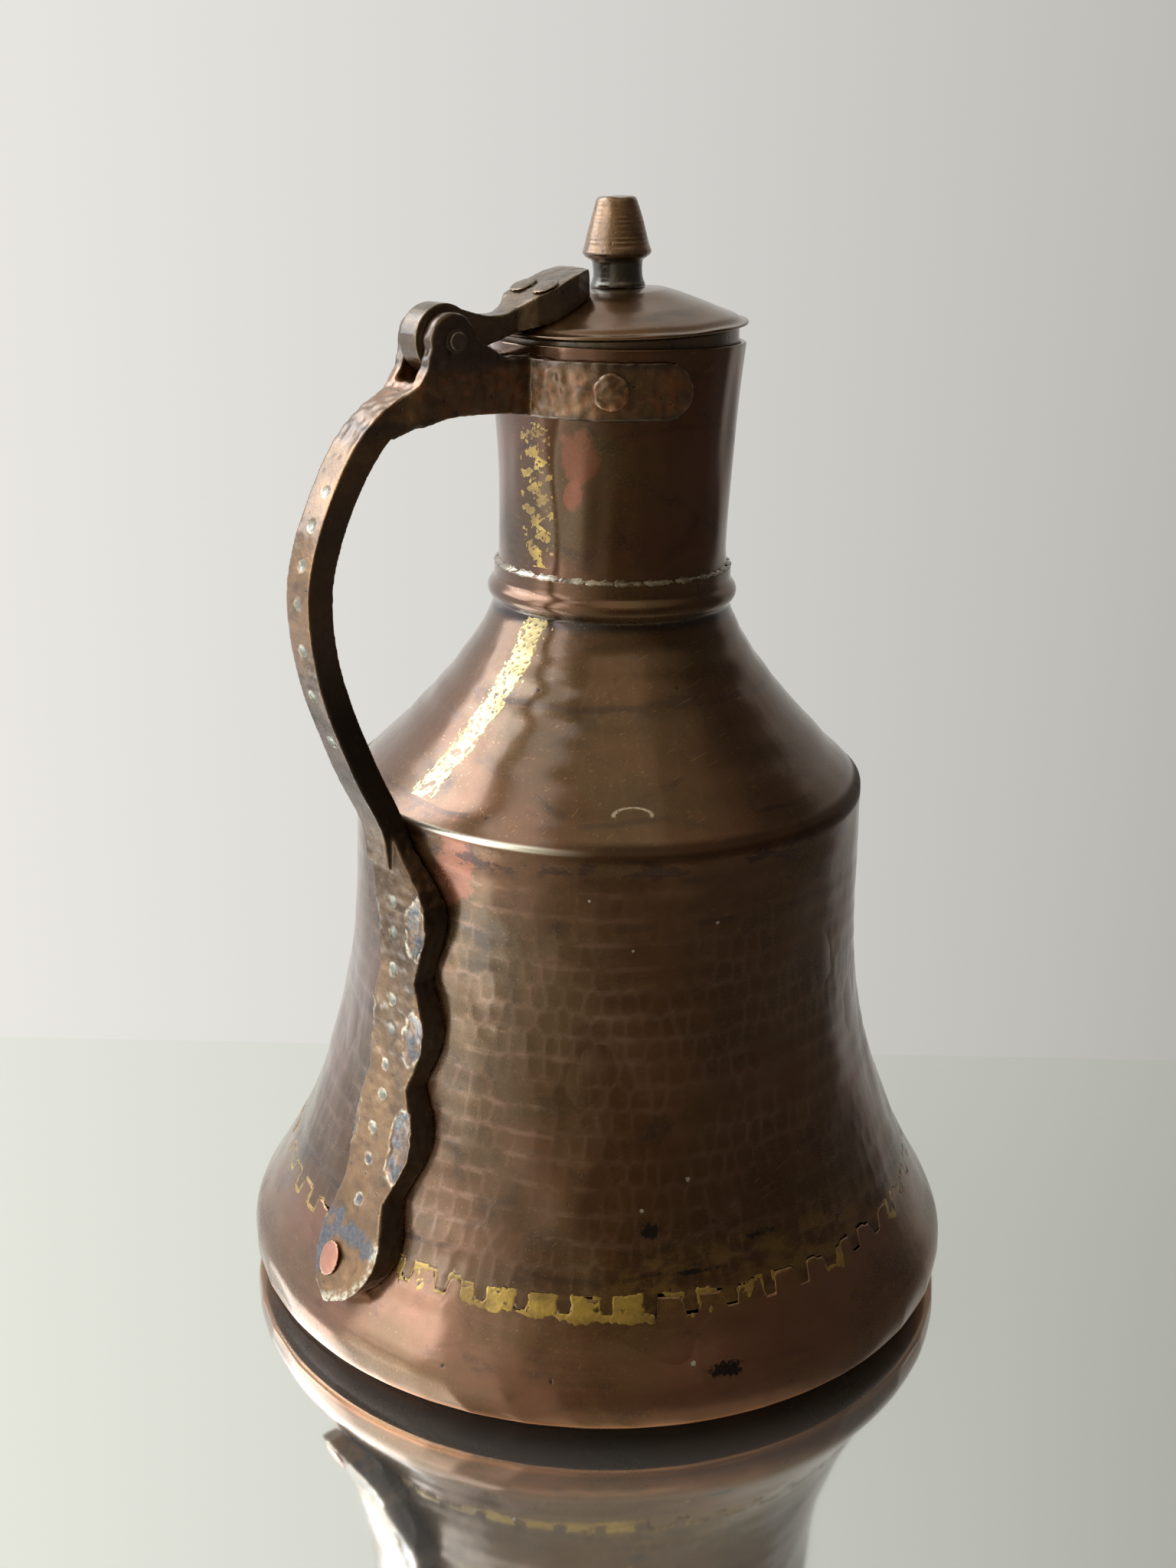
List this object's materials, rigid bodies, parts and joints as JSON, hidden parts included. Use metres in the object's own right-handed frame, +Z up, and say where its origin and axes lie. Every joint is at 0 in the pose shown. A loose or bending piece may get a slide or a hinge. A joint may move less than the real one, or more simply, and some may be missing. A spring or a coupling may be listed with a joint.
{
  "type": "lidded ewer",
  "caption": "Tall copper ewer with a flared bell-shaped body, straight neck, riveted cast handle and a hinged conical lid with a knob; poured over its rim.",
  "frame": {"origin": "centre of the flat underside, on the axis of the vessel", "axes": "+Z up along the vessel's axis, -X towards the handle, hinge pin along Y"},
  "size_m": [0.2975, 0.2966, 0.4246],
  "materials": {
    "base_copper": "rosy old copper, hammered, half polished",
    "wall_copper": "old copper with olive-brown patina, hammered",
    "neck_copper": "dark red-brown copper, hammered",
    "cast_handle": "rough casting, worn bright on its edges",
    "cast_lid_strap": "rough casting, dark patina",
    "cast_knob": "turned casting with fine grooves",
    "rivet_copper": "bare copper, hammered",
    "hinge_iron": "dark, greasy iron",
    "lid_copper": "dark olive-brown copper, smooth"
  },
  "bodies": {
    "jug": {"base_pan": "base_copper", "body_shell": "wall_copper", "neck_tube": "neck_copper", "handle": "cast_handle", "arm_rivet_near": "rivet_copper", "arm_rivet_far": "rivet_copper", "foot_rivet": "rivet_copper", "hinge_pin": "hinge_iron", "hinge_washer_near": "hinge_iron", "hinge_washer_far": "hinge_iron"},
    "lid": {"lid_cover": "lid_copper", "lid_collar": "lid_copper", "lid_strap": "cast_lid_strap", "lid_strap_rivet_near": "cast_lid_strap", "lid_strap_rivet_far": "cast_lid_strap", "lid_knob": "cast_knob", "knob_washer": "rivet_copper"}
  },
  "joints": [
    {"name": "lid_hinge", "type": "hinge", "parent": "jug", "child": "lid", "pos_m": [-0.0815, 0, 0.377], "axis": [0, -1, 0], "range_deg": [-3, 195]}
  ]
}
